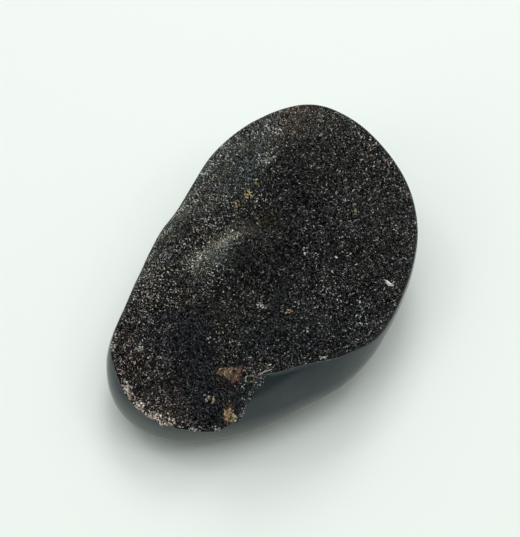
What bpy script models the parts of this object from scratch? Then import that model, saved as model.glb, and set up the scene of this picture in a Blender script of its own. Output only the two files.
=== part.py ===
"""A septarian nodule: a polished pebble of dark rock with a druse of small crystals over its top face.

The nodule and its crystal crust are two closed solids, cut from one pebble shape. The crust's crystal points
stand on a height field, which gives the top face its shoulder, its lump, its dips and its low end.
Units are metres. +Z is up, +Y runs along the stone, and the stone rests on its flat underside at Z = 0.
"""
import math
import random

import bmesh
import bpy
import numpy as np
from mathutils import Matrix

MM = 0.001

# Pebble: the widest outline around the stone, as radii every 15 degrees counter-clockwise from +X.
BELT_RADII = [26.1 * MM, 26.7 * MM, 28.4 * MM, 30.9 * MM, 33.4 * MM, 35.6 * MM, 37.7 * MM, 38.6 * MM,
              35.4 * MM, 30.5 * MM, 25.1 * MM, 22.2 * MM, 21.8 * MM, 22.0 * MM, 23.4 * MM, 27.1 * MM,
              33.6 * MM, 37.7 * MM, 37.8 * MM, 34.4 * MM, 30.8 * MM, 28.2 * MM, 27.4 * MM, 26.6 * MM]
BELT_HEIGHT = 9.0 * MM
BELT_RISE = 0.10
UNDERSIDE_DEPTH = 1.03
UNDERSIDE_ROUNDNESS = 2.4
PEBBLE_TOP = 34.0 * MM
PEBBLE_TOP_SHARE = 0.84
PEBBLE_TOP_ROUNDNESS = 8
PEBBLE_SEGMENTS = 64
PEBBLE_RINGS = 34

# Wall: how gently the side rounds in above the widest outline, as arc radii every 22.5 degrees from +X.
WALL_RADII = [11.0 * MM, 11.0 * MM, 11.0 * MM, 11.0 * MM, 11.0 * MM, 11.0 * MM, 11.0 * MM, 11.0 * MM,
              11.0 * MM, 11.0 * MM, 7.0 * MM, 3.6 * MM, 7.0 * MM, 11.0 * MM, 13.5 * MM, 12.0 * MM]

# Place of the outline's centre, which puts the middle of the finished stone on the Z axis.
CENTRE_X = -2.07 * MM
CENTRE_Y = -0.06 * MM

# Top face: the height of its rim, as values every 22.5 degrees from +X, and the broad crown inside it.
RIM_HEIGHTS = [10.0 * MM, 10.9 * MM, 12.4 * MM, 15.0 * MM, 17.0 * MM, 14.7 * MM, 12.0 * MM, 11.0 * MM,
               11.0 * MM, 12.2 * MM, 15.0 * MM, 16.5 * MM, 16.3 * MM, 14.4 * MM, 13.8 * MM, 12.1 * MM]
CROWN_HEIGHT = 20.0 * MM
CROWN_POWER = 2.6
FACE_REACH = 1.15

# Low end: past an edge line the face drops, steeply beside the edge point and more gently along the line.
LOW_EDGE_X = 7.9 * MM
LOW_EDGE_Y = -28.0 * MM
LOW_HEADING = 246.0
LOW_DROP = 8.2 * MM
LOW_RUN = 6.0 * MM
LOW_SPREAD = 0.45

# Lumps and dips of the top face: x, y, height, reach along, reach across, turn in degrees.
SWELLS = [
    (-4.4 * MM, 14.8 * MM, 3.6 * MM, 13.0 * MM, 6.0 * MM, 82.0),
    (-6.0 * MM, 29.0 * MM, 2.0 * MM, 9.0 * MM, 7.0 * MM, 100.0),
    (-1.2 * MM, -5.2 * MM, 4.6 * MM, 7.0 * MM, 4.8 * MM, 68.0),
    (-7.4 * MM, -1.6 * MM, -2.2 * MM, 7.5 * MM, 4.0 * MM, 68.0),
    (14.0 * MM, 8.0 * MM, 1.5 * MM, 14.0 * MM, 8.0 * MM, 75.0),
    (0.0 * MM, -26.5 * MM, -2.0 * MM, 6.0 * MM, 3.5 * MM, 80.0),
    (-9.0 * MM, -19.0 * MM, -1.5 * MM, 7.0 * MM, 4.0 * MM, 110.0),
    (-3.0 * MM, -14.5 * MM, 0.7 * MM, 4.0 * MM, 3.0 * MM, 120.0),
    (6.0 * MM, -17.5 * MM, 0.7 * MM, 4.5 * MM, 3.0 * MM, 30.0),
    (14.0 * MM, -13.0 * MM, 0.7 * MM, 4.0 * MM, 3.5 * MM, 60.0),
    (8.0 * MM, -7.0 * MM, -0.8 * MM, 8.0 * MM, 5.0 * MM, 60.0),
    (-9.5 * MM, -28.5 * MM, 0.9 * MM, 5.0 * MM, 4.0 * MM, 60.0),
]

# Crystal crust: its thickness, and the leaning four-sided crystal points that cover it.
CRUST_THICKNESS = 1.1 * MM
JOIN_GAP = 0.3 * MM
CRYSTAL_SPACING = 1.7 * MM
CRYSTAL_TURN = 33.0
CRYSTAL_TIP = 0.30 * MM
CRYSTAL_TIP_SPREAD = 0.35 * MM
CRYSTAL_VALLEY = -0.45 * MM
CORNER_SHIFT = 0.28
TIP_SHIFT = 0.14
BED_SPACING = 2.5 * MM
FIELD_WIDTH = 96.0 * MM
CUTTER_HEIGHT = 45.0 * MM
SEED = 7

ROCK_COLOUR = (0.045, 0.050, 0.052, 1.0)
ROCK_ROUGHNESS = 0.15
CRYSTAL_COLOUR = (0.020, 0.018, 0.017, 1.0)
CRYSTAL_ROUGHNESS = 0.35


def closed_curve(values, angle):
    """Read a smooth closed curve through evenly spaced values at an angle, or at an array of angles."""
    values = np.asarray(values)
    count = len(values)
    place = np.mod(angle, math.tau) / math.tau * count
    index = np.floor(place).astype(int)
    t = place - index
    before, start, end, after = (values[(index + offset) % count] for offset in (-1, 0, 1, 2))
    return 0.5 * (2 * start + (end - before) * t + (2 * before - 5 * start + 4 * end - after) * t ** 2
                  + (3 * start - before - 3 * end + after) * t ** 3)


def belt_height(y):
    """Height of the widest outline, which rises along the stone."""
    return BELT_HEIGHT + BELT_RISE * y


def swell(x, y, centre_x, centre_y, height, along, across, turn):
    """Height of one rounded lump or dip at x, y."""
    cosine, sine = math.cos(math.radians(turn)), math.sin(math.radians(turn))
    u = (x - centre_x) * cosine + (y - centre_y) * sine
    v = (y - centre_y) * cosine - (x - centre_x) * sine
    return height * np.exp(-(u / along) ** 2 - (v / across) ** 2)


def low_end(x, y):
    """How far the face lies below its crown past the low end's edge line."""
    cosine, sine = math.cos(math.radians(LOW_HEADING)), math.sin(math.radians(LOW_HEADING))
    past = (x - LOW_EDGE_X) * cosine + (y - LOW_EDGE_Y) * sine
    beside = np.maximum((x - LOW_EDGE_X) * sine - (y - LOW_EDGE_Y) * cosine, 0.0)
    step = np.clip(0.5 + past / (2 * (LOW_RUN + LOW_SPREAD * beside)), 0.0, 1.0)
    return LOW_DROP * step ** 2 * (3 - 2 * step)


def face_height(x, y):
    """Height of the top face over the plan point x, y."""
    angle = np.arctan2(y, x)
    outward = np.minimum(np.hypot(x, y) / closed_curve(BELT_RADII, angle), FACE_REACH)
    weight = outward ** CROWN_POWER
    height = CROWN_HEIGHT * (1 - weight) + closed_curve(RIM_HEIGHTS, angle) * weight - low_end(x, y)
    for values in SWELLS:
        height = height + swell(x, y, *values)
    return height


def side_radius(angle, height):
    """Radius of the pebble's side: an arc that rounds in above the widest outline, and a fuller curve below."""
    belt = closed_curve(BELT_RADII, angle)
    belt_z = belt_height(belt * np.sin(angle))
    over = np.maximum(height - belt_z, 0.0)
    under = np.clip((belt_z - height) / (belt_z * UNDERSIDE_DEPTH), 0.0, 1.0)
    curve = (1 - under ** UNDERSIDE_ROUNDNESS) ** (1 / UNDERSIDE_ROUNDNESS)
    return (belt - over ** 2 / (2 * closed_curve(WALL_RADII, angle))) * curve


def pebble_surface(angle, level):
    """Point of the whole pebble at an angle, from level -1 at the bottom through 0 at the belt to 1 at the top."""
    belt = closed_curve(BELT_RADII, angle)
    belt_z = belt_height(belt * np.sin(angle))
    over = np.maximum(level, 0.0)
    height = belt_z + over * (PEBBLE_TOP - belt_z) + np.minimum(level, 0.0) * belt_z * UNDERSIDE_DEPTH
    roundness = PEBBLE_TOP_ROUNDNESS
    top = (1 - over ** roundness) ** (1 / roundness)
    radius = np.maximum(side_radius(angle, height), PEBBLE_TOP_SHARE * belt * (level > 0)) * top
    return radius * np.cos(angle), radius * np.sin(angle), height


def mesh_points(mesh):
    """Vertex places of a mesh as rows of an array."""
    points = np.empty(len(mesh.vertices) * 3)
    mesh.vertices.foreach_get("co", points)
    return points.reshape(-1, 3)


def set_mesh_points(mesh, points):
    """Move the vertices of a mesh to the rows of an array."""
    mesh.vertices.foreach_set("co", points.ravel())
    mesh.update()


def new_mesh(name, shape):
    """Turn a finished bmesh into a mesh."""
    mesh = bpy.data.meshes.new(name)
    shape.to_mesh(mesh)
    shape.free()
    return mesh


def new_object(name, mesh, collection):
    """Put a mesh in the scene under a name, at the stone's centre."""
    item = bpy.data.objects.new(name, mesh)
    item.location = (CENTRE_X, CENTRE_Y, 0.0)
    collection.objects.link(item)
    return item


def new_cutter(name, mesh, collection):
    """Put a mesh in the scene as a guide that is never rendered."""
    item = new_object(name, mesh, collection)
    item.hide_render = True
    item.display_type = "WIRE"
    return item


def pebble_mesh():
    """The whole pebble before its top is taken off: a sphere drawn out to the stone's rounded sides."""
    shape = bmesh.new()
    bmesh.ops.create_uvsphere(shape, u_segments=PEBBLE_SEGMENTS, v_segments=PEBBLE_RINGS, radius=1.0)
    mesh = new_mesh("pebble", shape)
    unit = mesh_points(mesh)
    set_mesh_points(mesh, np.column_stack(pebble_surface(np.arctan2(unit[:, 1], unit[:, 0]), unit[:, 2])))
    return mesh


def below_ground_mesh():
    """The space under the resting face."""
    shape = bmesh.new()
    bmesh.ops.create_cube(shape, size=FIELD_WIDTH)
    bmesh.ops.translate(shape, verts=shape.verts, vec=(0.0, 0.0, -FIELD_WIDTH / 2))
    return new_mesh("below_ground", shape)


def field_grid(spacing, turn):
    """A flat square grid over the whole stone, as an open bmesh."""
    count = round(FIELD_WIDTH / spacing)
    shape = bmesh.new()
    bmesh.ops.create_grid(shape, x_segments=count, y_segments=count, size=FIELD_WIDTH / 2)
    bmesh.ops.rotate(shape, verts=shape.verts, matrix=Matrix.Rotation(math.radians(turn), 3, "Z"))
    return shape


def lift_to_face(vert, offset):
    """Put a vertex over or under the top face."""
    vert.co.z = float(face_height(vert.co.x, vert.co.y)) + offset


def fill_up(shape):
    """Close an open field into a solid that reaches straight up, well above the stone."""
    rim = [edge for edge in shape.edges if edge.is_boundary]
    wall = bmesh.ops.extrude_edge_only(shape, edges=rim)["geom"]
    for vert in (item for item in wall if isinstance(item, bmesh.types.BMVert)):
        vert.co.z = CUTTER_HEIGHT
    roof = [item for item in wall if isinstance(item, bmesh.types.BMEdge) and item.is_boundary]
    bmesh.ops.contextual_create(shape, geom=roof)
    bmesh.ops.recalc_face_normals(shape, faces=shape.faces)


def above_bed_mesh(name, depth):
    """The space above a smooth copy of the top face, sunk by a depth."""
    shape = field_grid(BED_SPACING, 0.0)
    for vert in shape.verts:
        lift_to_face(vert, -depth)
    bmesh.ops.triangulate(shape, faces=shape.faces)
    fill_up(shape)
    return new_mesh(name, shape)


def above_crystals_mesh(name):
    """The space above the crystals: each cell of an uneven grid is drawn up to a leaning four-sided point."""
    dice = random.Random(SEED)
    shape = field_grid(CRYSTAL_SPACING, CRYSTAL_TURN)
    for vert in list(shape.verts):
        vert.co.x += dice.uniform(-CORNER_SHIFT, CORNER_SHIFT) * CRYSTAL_SPACING
        vert.co.y += dice.uniform(-CORNER_SHIFT, CORNER_SHIFT) * CRYSTAL_SPACING
        lift_to_face(vert, CRYSTAL_VALLEY)
    for vert in bmesh.ops.poke(shape, faces=shape.faces)["verts"]:
        vert.co.x += dice.uniform(-TIP_SHIFT, TIP_SHIFT) * CRYSTAL_SPACING
        vert.co.y += dice.uniform(-TIP_SHIFT, TIP_SHIFT) * CRYSTAL_SPACING
        lift_to_face(vert, CRYSTAL_TIP - dice.random() * CRYSTAL_TIP_SPREAD)
    fill_up(shape)
    return new_mesh(name, shape)


def cut(item, operation, cutter):
    """Add an exact Boolean modifier to an object."""
    modifier = item.modifiers.new(operation.lower(), "BOOLEAN")
    modifier.operation = operation
    modifier.solver = "EXACT"
    modifier.object = cutter


def stone_material(name, colour, roughness):
    """A plain stone finish."""
    finish = bpy.data.materials.new(name)
    finish.use_nodes = True
    shader = finish.node_tree.nodes["Principled BSDF"]
    shader.inputs["Base Color"].default_value = colour
    shader.inputs["Roughness"].default_value = roughness
    shader.inputs["Metallic"].default_value = 0.0
    return finish


def make_nodule(parts, cutters):
    """The polished rock: the pebble with a flat resting face, and with the bed of the crust cut into its top."""
    ground = new_cutter("below_ground", below_ground_mesh(), cutters)
    bed = new_cutter("above_bed", above_bed_mesh("above_bed", CRUST_THICKNESS + JOIN_GAP), cutters)
    nodule = new_object("nodule", pebble_mesh(), parts)
    cut(nodule, "DIFFERENCE", ground)
    cut(nodule, "DIFFERENCE", bed)
    nodule.data.materials.append(stone_material("polished_matrix", ROCK_COLOUR, ROCK_ROUGHNESS))


def make_crystal_crust(parts, cutters):
    """The druse: the pebble between the crust's underside and its crystal points."""
    floor = new_cutter("above_crust_floor", above_bed_mesh("above_crust_floor", CRUST_THICKNESS), cutters)
    crystals = new_cutter("above_crystals", above_crystals_mesh("above_crystals"), cutters)
    crust = new_object("crystal_crust", pebble_mesh(), parts)
    cut(crust, "INTERSECT", floor)
    cut(crust, "DIFFERENCE", crystals)
    crust.data.materials.append(stone_material("black_crystal", CRYSTAL_COLOUR, CRYSTAL_ROUGHNESS))


def new_collection(name):
    """A new collection in the scene."""
    collection = bpy.data.collections.new(name)
    bpy.context.scene.collection.children.link(collection)
    return collection


def build():
    """Empty the scene and build the stone."""
    for item in list(bpy.data.objects):
        bpy.data.objects.remove(item, do_unlink=True)
    parts = new_collection("septarian_nodule")
    cutters = new_collection("cutters")
    make_nodule(parts, cutters)
    make_crystal_crust(parts, cutters)


if __name__ == "__main__":
    build()
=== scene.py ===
"""Septarian nodule: a polished dark stone whose rolling top face carries a druse of tiny black crystals.

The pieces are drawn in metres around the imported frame. The stone's shape comes from the same named values as
its solids: a belt of radii, a rim of heights, a crown and a few swells.
"""
import math

import bpy
import numpy as np
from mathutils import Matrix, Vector, noise


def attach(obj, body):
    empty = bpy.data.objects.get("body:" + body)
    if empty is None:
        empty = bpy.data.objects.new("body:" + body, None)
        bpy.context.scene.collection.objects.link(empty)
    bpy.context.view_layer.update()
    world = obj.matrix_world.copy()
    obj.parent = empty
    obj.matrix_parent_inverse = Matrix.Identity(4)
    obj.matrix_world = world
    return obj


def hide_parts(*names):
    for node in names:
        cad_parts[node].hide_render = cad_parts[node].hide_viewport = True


bl_info = {
    "name": "Septarian Nodule",
    "version": (1, 0, 0),
    "blender": (4, 5, 0),
    "location": "3D View > Sidebar > Stone",
    "description": "Builds a polished septarian nodule with a druse of small black crystals",
    "category": "Add Mesh",
}

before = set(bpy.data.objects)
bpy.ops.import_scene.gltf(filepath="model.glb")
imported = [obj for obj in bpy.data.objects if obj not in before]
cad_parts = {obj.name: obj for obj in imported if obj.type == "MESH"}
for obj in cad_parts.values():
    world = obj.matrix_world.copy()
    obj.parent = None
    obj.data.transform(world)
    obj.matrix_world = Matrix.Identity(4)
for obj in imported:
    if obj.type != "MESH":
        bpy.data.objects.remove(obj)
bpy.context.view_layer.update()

MM = 0.001

# Belt: the widest outline around the stone, as radii every 15 degrees counter-clockwise from +X, its height and
# rise along the stone, and how deep and round the underside is below it.
BELT_RADII = [radius * MM for radius in (
    26.1, 26.7, 28.4, 30.9, 33.4, 35.6, 37.7, 38.6, 35.4, 30.5, 25.1, 22.2,
    21.8, 22.0, 23.4, 27.1, 33.6, 37.7, 37.8, 34.4, 30.8, 28.2, 27.4, 26.6)]
BELT_HEIGHT = 9.0 * MM
BELT_RISE = 0.10
UNDERSIDE_DEPTH = 1.03
UNDERSIDE_ROUNDNESS = 2.4
CENTRE = (-2.07 * MM, -0.06 * MM, 0.0)

# Wall: how gently the side rounds in above the widest outline, as arc radii every 22.5 degrees from +X.
WALL_RADII = [radius * MM for radius in (
    11.0, 11.0, 11.0, 11.0, 11.0, 11.0, 11.0, 11.0, 11.0, 11.0, 7.0, 3.6, 7.0, 11.0, 13.5, 12.0)]

# Top face: the height of its rim, as values every 22.5 degrees from +X, and the broad crown inside it.
RIM_HEIGHTS = [height * MM for height in (
    10.0, 10.9, 12.4, 15.0, 17.0, 14.7, 12.0, 11.0, 11.0, 12.2, 15.0, 16.5, 16.3, 14.4, 13.8, 12.1)]
CROWN_HEIGHT = 20.0 * MM
CROWN_POWER = 2.6
FACE_REACH = 1.15

# Low end: past an edge line the face drops, steeply beside the edge point and more gently along the line.
LOW_EDGE_X = 7.9 * MM
LOW_EDGE_Y = -28.0 * MM
LOW_HEADING = 246.0
LOW_DROP = 8.2 * MM
LOW_RUN = 6.0 * MM
LOW_SPREAD = 0.45

# Lumps and dips of the top face: x, y, height, reach along and reach across in mm, and turn in degrees.
SWELLS = [(*(length * MM for length in lengths), turn) for *lengths, turn in (
    (-4.4, 14.8, 3.6, 13.0, 6.0, 82.0),
    (-6.0, 29.0, 2.0, 9.0, 7.0, 100.0),
    (-1.2, -5.2, 4.6, 7.0, 4.8, 68.0),
    (-7.4, -1.6, -2.2, 7.5, 4.0, 68.0),
    (14.0, 8.0, 1.5, 14.0, 8.0, 75.0),
    (0.0, -26.5, -2.0, 6.0, 3.5, 80.0),
    (-9.0, -19.0, -1.5, 7.0, 4.0, 110.0),
    (-3.0, -14.5, 0.7, 4.0, 3.0, 120.0),
    (6.0, -17.5, 0.7, 4.5, 3.0, 30.0),
    (14.0, -13.0, 0.7, 4.0, 3.5, 60.0),
    (8.0, -7.0, -0.8, 8.0, 5.0, 60.0),
    (-9.5, -28.5, 0.9, 5.0, 4.0, 60.0),
)]
SLOPE_STEP = 0.05 * MM

# Polished rock: how finely its closed surface is drawn, and how it ends under the crust.
SEGMENTS = 480
UNDERSIDE_ROWS = 40
WALL_ROWS = 22
ROCK_BED_ROWS = 20
ROCK_BED_DEPTH = 1.0 * MM
RIM_SOLVE_STEPS = 60
RIM_SOLVE_SHARE = 0.6
EDGE_ROLL = 0.15 * MM
EDGE_ROWS = 5
EDGE_WANDER = 0.12 * MM
EDGE_WANDER_SIZE = 1.1 * MM
EDGE_WANDER_SEED = 3
CLOUD_SHIFT = (3.7, 1.9, 5.3)

# Finishes. A noise is a size, a detail and a seed, and its values lie mostly between the two ends. A range maps
# a low and a high value to two others. A wear is how far the roughness swings down and up. A ripple is a bump's
# strength and height.
NOISE_ENDS = (0.3, 0.7)
ROCK_CLOUD_NOISE = (9.0 * MM, 3.0, 0.0)
ROCK_CLOUD_RANGE = (0.35, 0.68, 0.0, 1.0)
ROCK_NAVY_NOISE = (14.0 * MM, 2.0, 4.0)
ROCK_NAVY_RANGE = (0.45, 0.7, 0.0, 0.55)
ROCK_NAVY_COLOUR = (0.012, 0.016, 0.030)
# The rock is paler low down, over this range of heights, as painted reflection of the bright floor.
ROCK_FOOT_REFLECTION_RANGE = (3.5 * MM, 9.0 * MM, 0.9, 0.0)
ROCK_SPECK_NOISE = (0.35 * MM, 2.0, 9.0)
ROCK_SPECK_RANGE = (0.62, 0.75, 0.0, 0.35)
ROCK_SPECK_COLOUR = (0.10, 0.11, 0.105)
ROCK_WEAR_NOISE = (3.0 * MM, 5.0, 2.0)
ROCK_WEAR = (-0.04, 0.08)
ROCK_RIPPLE_NOISE = (1.2 * MM, 4.0, 6.0)
ROCK_RIPPLE = (0.12, 0.05 * MM)
BED_CLOUD_NOISE = (0.8 * MM, 4.0, 0.0)
BED_DARKNESS = 0.4
BED_ROUGHNESS_RANGE = (0.0, 1.0, 0.75, 0.5)
BED_RIPPLE_NOISE = (0.3 * MM, 3.0, 5.0)
BED_RIPPLE = (0.5, 0.1 * MM)
CRYSTAL_GRAIN_NOISE = (0.25 * MM, 2.0, 3.0)
CRYSTAL_CLOUD_NOISE = (5.0 * MM, 3.0, 7.0)
CRYSTAL_CLOUD_RANGE = (0.35, 0.65, 0.75, 1.2)
CRYSTAL_WEAR = (-0.09, 0.12)
CRYSTAL_RIPPLE = (0.25, 0.03 * MM)
CRYSTAL_ROUGHNESS = 0.12
CRYSTAL_IOR = 1.48
CALCITE_IOR = 1.55

# Crust bed: the dark floor that the crystals stand on.
BED_ROWS = 96
BED_FLOOR_ROWS = 36
BED_LEVEL = -0.30 * MM
BED_FLOOR_LEVEL = -0.85 * MM
BED_OVERLAP = 0.08 * MM
BED_GRAIN = 0.5 * MM
BED_GRAIN_HEIGHT = 0.10 * MM
BED_GRAIN_SEED = 1

# Places of the druse's crystals. Their plan grid of triangles is finer than the spacing, and is thinned where
# the face lies flat. The two rank steps give neighbours of the grid ranks that lie well apart.
STEEPEST = 2.6
ROW_PITCH = math.sqrt(0.75)
POINT_SHIFT = 0.42
RANK_ACROSS = 0.7548776662
RANK_ALONG = 0.5698402910
RANK_SHAKE = 0.15
EDGE_CREEP = 0.13 * MM
RIM_SMALL_REACH = 0.5 * MM
RIM_SMALL_SHARE = 0.5
RIM_POINT = -0.02 * MM
RIM_RISE = 0.25
HIGHEST_POINT = 0.32 * MM
BAND_EDGES = (-19.0 * MM, -6.0 * MM, 6.0 * MM, 18.0 * MM)
BAND_BLUR = 0.8 * MM
SEED = 41

# Shapes of the crystals: their spread of sizes, and their sides and height for one unit of size.
SIZE_SPREAD = 0.28
SMALLEST = 0.6
LARGEST = 1.9
LONG_CRYSTAL_SHARE = 0.10
LONG_CRYSTAL_SIDES = (1.3, 1.9)
CRYSTAL_SIDES = (0.6, 1.0)
CRYSTAL_HEIGHTS = (1.7, 3.0)
CRYSTAL_SINK = 0.45
MAP_DIAMONDS = (((0.5, 0.95), (0.1, 0.65), (0.5, 0.3), (0.9, 0.65)),
                ((0.5, 0.02), (0.2, 0.12), (0.5, 0.22), (0.8, 0.12)))

# Painted shade: how bright a crystal is at its point, at its two rings of corners and at its foot, darker low
# down where shade falls between the crystals. A blade's middle corners are a little darker than its two ends.
PAINTED_SHADE_POINT_TO_FOOT = (1.0, 0.50, 0.50, 0.50, 0.10, 0.10, 0.10, 0.05)
ODD_PAINTED_SHADE_POINT_TO_FOOT = (1.0, 0.80, 0.80, 0.80, 0.40, 0.40, 0.40, 0.30)
BLADE_PAINTED_SHADE = (1.0, 0.9, 0.9, 0.9, 0.9, 0.9, 0.9, 1.0)

# Shades of the dark crystals, and the pale ones among them: thin, leaning and in soft clouds.
DARKEST_SHADE = 0.2
SHADE_SWING = 1.6
PALE_SHARE = 0.23
PALE_CLOUD = 3.0 * MM
PALE_CLOUD_SEED = 8
PALE_PATCHES = 0.6
PALE_POWER = 1.3
PALE_THINNESS = 0.62
PALE_LENGTH = 0.85
PALE_TILT = 1.2
PALE_RISE = 0.28
# How far the painted shade at the feet is lifted on the pale crystals.
PALE_EVENNESS = 0.55
PALE_TINTS = ((1.08, 0.98, 0.92), (1.03, 1.01, 0.95), (1.0, 1.0, 1.0), (0.95, 1.0, 1.04))
TINT_CLOUD = 3.4 * MM
TINT_CLOUD_SEED = 11
TINT_SWING = (0.09, 0.0, -0.20)

# Frost and painted light: the pale crystals stand thicker and brighter towards the flank at this heading, as
# painted light on the flank that faces the light, and along the rim, as frost.
FLANK_HEADING = 208.0
FLANK_REACH = 18.0 * MM
FLANK_LEAST = -0.6
FLANK_TINT = (0.03, 0.0, -0.06)
FROST_AND_LIGHT_BASE = 0.86
FLANK_PAINTED_LIGHT = 0.50
RIM_FROST = 0.42
RIM_FROST_REACH = 6.0 * MM
FROST_AND_LIGHT_SPREAD = 0.5

# Stains and painted light of the druse, each a soft line between two pixels of the view, with its reach in mm,
# its colour and its strength. The pale shoulder and the pale face of the lump are partly painted highlight, and
# two dark lines are painted shade; the others are stains. The mark of each crystal is darker or brighter by
# chance, and brighter on a pale one.
STAINS_AND_PAINTED_LIGHT = [(start, end, reach * MM, colour, strength) for start, end, reach, colour, strength in (
    # The pale shoulder, here and in the next line: a greenish film, partly painted highlight on the slope that
    # faces the light.
    ((285, 122), (203, 202), 8.4, (0.215, 0.222, 0.192), 0.52),
    ((272, 122), (244, 146), 3.2, (0.230, 0.240, 0.205), 0.45),
    ((306, 106), (291, 128), 3.4, (0.150, 0.086, 0.058), 0.70),
    ((250, 119), (194, 182), 1.5, (0.320, 0.350, 0.320), 0.45),
    ((307, 147), (320, 187), 2.2, (0.150, 0.150, 0.105), 0.40),
    ((318, 122), (352, 176), 5.5, (0.140, 0.115, 0.085), 0.40),
    ((252, 150), (240, 176), 3.0, (0.080, 0.125, 0.140), 0.55),
    ((186, 221), (172, 243), 3.4, (0.030, 0.029, 0.024), 0.60),
    # The pale face of the lump, here and in the next line: a greenish film, partly painted highlight on its
    # side towards the light.
    ((234, 235), (204, 259), 3.5, (0.440, 0.420, 0.315), 0.88),
    ((219, 238), (207, 254), 1.8, (0.420, 0.385, 0.290), 0.45),
    ((236, 243), (225, 260), 2.3, (0.270, 0.310, 0.240), 0.60),
    # Painted shade on the lump's right side.
    ((247, 246), (240, 262), 1.5, (0.030, 0.030, 0.026), 0.75),
    ((272, 219), (249, 229), 2.7, (0.070, 0.052, 0.026), 0.94),
    # Painted shade in the hollow to the right of the lump.
    ((308, 185), (262, 305), 6.0, (0.010, 0.010, 0.010), 0.45),
    ((188, 326), (206, 405), 5.0, (0.011, 0.015, 0.031), 0.88),
    ((262, 333), (345, 338), 4.0, (0.028, 0.037, 0.056), 0.58),
    ((150, 330), (185, 372), 4.6, (0.042, 0.040, 0.060), 0.45),
    ((228, 312), (246, 308), 3.4, (0.100, 0.110, 0.080), 0.40),
    ((285, 298), (308, 312), 3.4, (0.085, 0.105, 0.120), 0.40),
    ((113, 345), (124, 395), 3.6, (0.170, 0.128, 0.112), 0.42),
    ((122, 362), (158, 408), 6.0, (0.098, 0.062, 0.058), 0.45),
    ((132, 404), (172, 424), 2.2, (0.330, 0.250, 0.215), 0.55),
    ((392, 200), (398, 270), 6.0, (0.085, 0.070, 0.062), 0.35),
    ((222, 377), (240, 374), 1.5, (0.150, 0.095, 0.062), 0.75),
    ((229, 407), (230, 420), 1.1, (0.420, 0.270, 0.140), 0.80),
    ((247, 387), (239, 402), 1.7, (0.062, 0.086, 0.098), 0.88),
)]
SPOT_POWER = 4
STAIN_AND_LIGHT_WANDER = 0.7
STAIN_AND_LIGHT_WANDER_SIZE = 2.2 * MM
STAIN_AND_LIGHT_WANDER_SEED = 5
STAIN_AND_LIGHT_LEAST = 0.05
STAIN_AND_LIGHT_SWING = 0.9
STAIN_AND_LIGHT_POWER = 1.8
STAIN_AND_LIGHT_OF_PALE = 4.2

# The dull patch, where few crystals are pale: a soft line between two pixels of the view.
DULL_PATCH_PX = ((247, 387), (239, 402))
DULL_PATCH_REACH = 1.7 * MM
DULL_PATCH_SHARE = 0.60

# Odd crystals on the druse. Each spot is a pixel of the view, its half width and height, and a count.
RUSTY_SPOTS = [((224, 372), (7, 4), 45), ((233, 375), (7, 7), 75), ((240, 370), (4, 4), 22),
               ((262, 375), (8, 3), 10)]
AMBER_SPOTS = [((229, 411), (4, 3), 22), ((230, 417), (6, 4), 56), ((212, 399), (4, 4), 8)]
RIM_SPOTS = [((126, 396), (5, 8), 100), ((137, 408), (8, 6), 110), ((152, 417), (9, 5), 80),
             ((167, 422), (9, 4), 36), ((114, 340), (3, 12), 26), ((126, 386), (6, 8), 26)]
GOLD_SPOTS = [((247, 193), (3, 5), 16), ((256, 182), (3, 3), 10), ((237, 205), (3, 3), 7),
              ((289, 312), (4, 2), 9), ((356, 211), (2, 2), 4), ((161, 237), (3, 2), 6)]
PALE_SPOTS = [((112, 343), (2, 9), 26), ((193, 429), (4, 2), 12), ((217, 428), (5, 2), 14),
              ((323, 358), (4, 2), 10), ((247, 392), (9, 10), 9), ((271, 132), (12, 4), 30),
              ((266, 158), (9, 6), 24), ((262, 306), (5, 4), 12), ((139, 348), (4, 4), 10),
              ((305, 252), (3, 4), 8), ((210, 398), (7, 6), 10), ((212, 222), (9, 6), 14),
              ((215, 340), (8, 5), 12)]
RUSTY_COLOURS = ((0.19, 0.082, 0.032), (0.04, 0.024, 0.016), (0.26, 0.145, 0.070), (0.44, 0.330, 0.225))
AMBER_COLOURS = ((0.36, 0.200, 0.080), (0.60, 0.440, 0.240), (0.85, 0.730, 0.540), (0.14, 0.090, 0.050))
RIM_COLOURS = ((0.66, 0.550, 0.460), (0.90, 0.850, 0.780), (0.34, 0.220, 0.170), (0.10, 0.075, 0.065))
GOLD_COLOURS = ((0.50, 0.340, 0.090), (0.70, 0.580, 0.340), (0.26, 0.170, 0.050))
PALE_COLOURS = ((0.70, 0.700, 0.660), (0.48, 0.500, 0.480))

# Groups of odd crystals: name, spots, colours, size and roughness.
ODD_GROUPS = (
    ("rusty_crystals", RUSTY_SPOTS, RUSTY_COLOURS, 0.24 * MM, 0.50),
    ("amber_crystals", AMBER_SPOTS, AMBER_COLOURS, 0.26 * MM, 0.40),
    ("rim_calcite", RIM_SPOTS, RIM_COLOURS, 0.22 * MM, 0.40),
    ("golden_crystals", GOLD_SPOTS, GOLD_COLOURS, 0.20 * MM, 0.30),
    ("pale_crystals", PALE_SPOTS, PALE_COLOURS, 0.17 * MM, 0.35),
)
ODD_LIFT = 0.22 * MM
ODD_TILT = math.radians(80.0)
ODD_WIDTHS = (0.7, 1.3)
ODD_SIDES = (0.7, 1.0)
ODD_HEIGHTS = (1.0, 1.6)
ODD_SHADES = (0.7, 1.2)
ODD_HEADROOM = 0.5

# The square ring of pale grains.
GRAIN_RING_PX = (250, 379)
GRAIN_RING_HALF_PX = (4.2, 3.4)
GRAIN_RING_COUNT = 15
GRAIN_RING_WANDER = (0.8, 1.2)
GRAIN_RING_SIZE = 0.17 * MM
GRAIN_RING_ROUGHNESS = 0.4
GRAIN_RING_COLOURS = ((0.50, 0.440, 0.360), (0.24, 0.190, 0.140), (0.62, 0.580, 0.500),
                      (0.10, 0.075, 0.055))

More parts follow.
